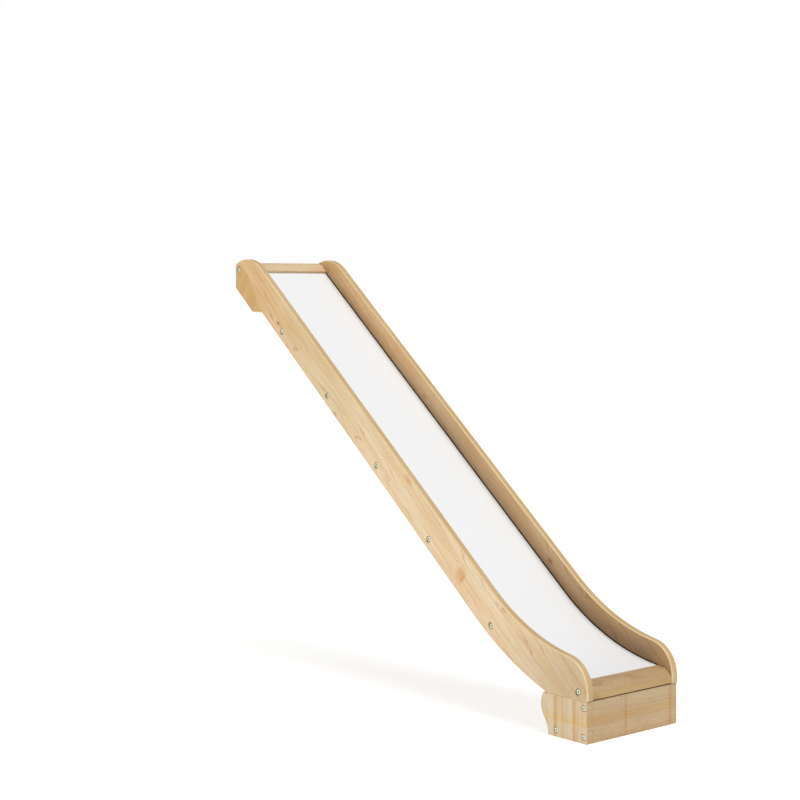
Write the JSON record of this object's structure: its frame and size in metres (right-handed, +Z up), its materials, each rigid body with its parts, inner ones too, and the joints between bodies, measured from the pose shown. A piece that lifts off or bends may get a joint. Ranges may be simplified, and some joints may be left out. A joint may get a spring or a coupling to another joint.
{
  "type": "bunk bed slide",
  "caption": "Straight wooden slide for a loft or bunk bed: sawn side rails, bent laminate-faced panel, entry bar for the bed's rail, rounded exit and low foot box.",
  "frame": {"origin": "on the floor, midway across the slide's width and midway along its run", "axes": "+Z up, +Y level towards the bed and the entry, -Y towards the exit, X across the slide"},
  "size_m": [0.367, 1.6576, 1.332],
  "materials": {
    "maple": "clear satin lacquer",
    "batten_wood": "planed",
    "plywood": "sanded",
    "dowel_wood": "planed",
    "laminate": "satin white laminate",
    "bolt_steel": "nickel plated",
    "screw_steel": "zinc plated",
    "insert_brass": "machined"
  },
  "bodies": {
    "root": {"side_rail_left": "maple", "side_rail_right": "maple", "panel_core": "plywood", "panel_laminate": "laminate", "entry_bar": "maple", "exit_nosing": "maple", "batten_1": "batten_wood", "batten_2": "batten_wood", "batten_3": "batten_wood", "batten_4": "batten_wood", "batten_5": "batten_wood", "foot_side_left": "maple", "foot_side_right": "maple", "foot_front_board": "maple", "foot_rear_rail": "maple", "rail_bolts_left": "bolt_steel", "rail_bolts_right": "bolt_steel", "rail_barrel_nuts": "bolt_steel", "batten_dowels": "dowel_wood", "panel_screws": "screw_steel", "bed_bolt_inserts": "insert_brass", "foot_bolts": "bolt_steel", "foot_barrel_nuts": "bolt_steel", "foot_dowels": "dowel_wood", "joining_plates": "screw_steel", "plate_screws": "screw_steel"}
  },
  "joints": []
}
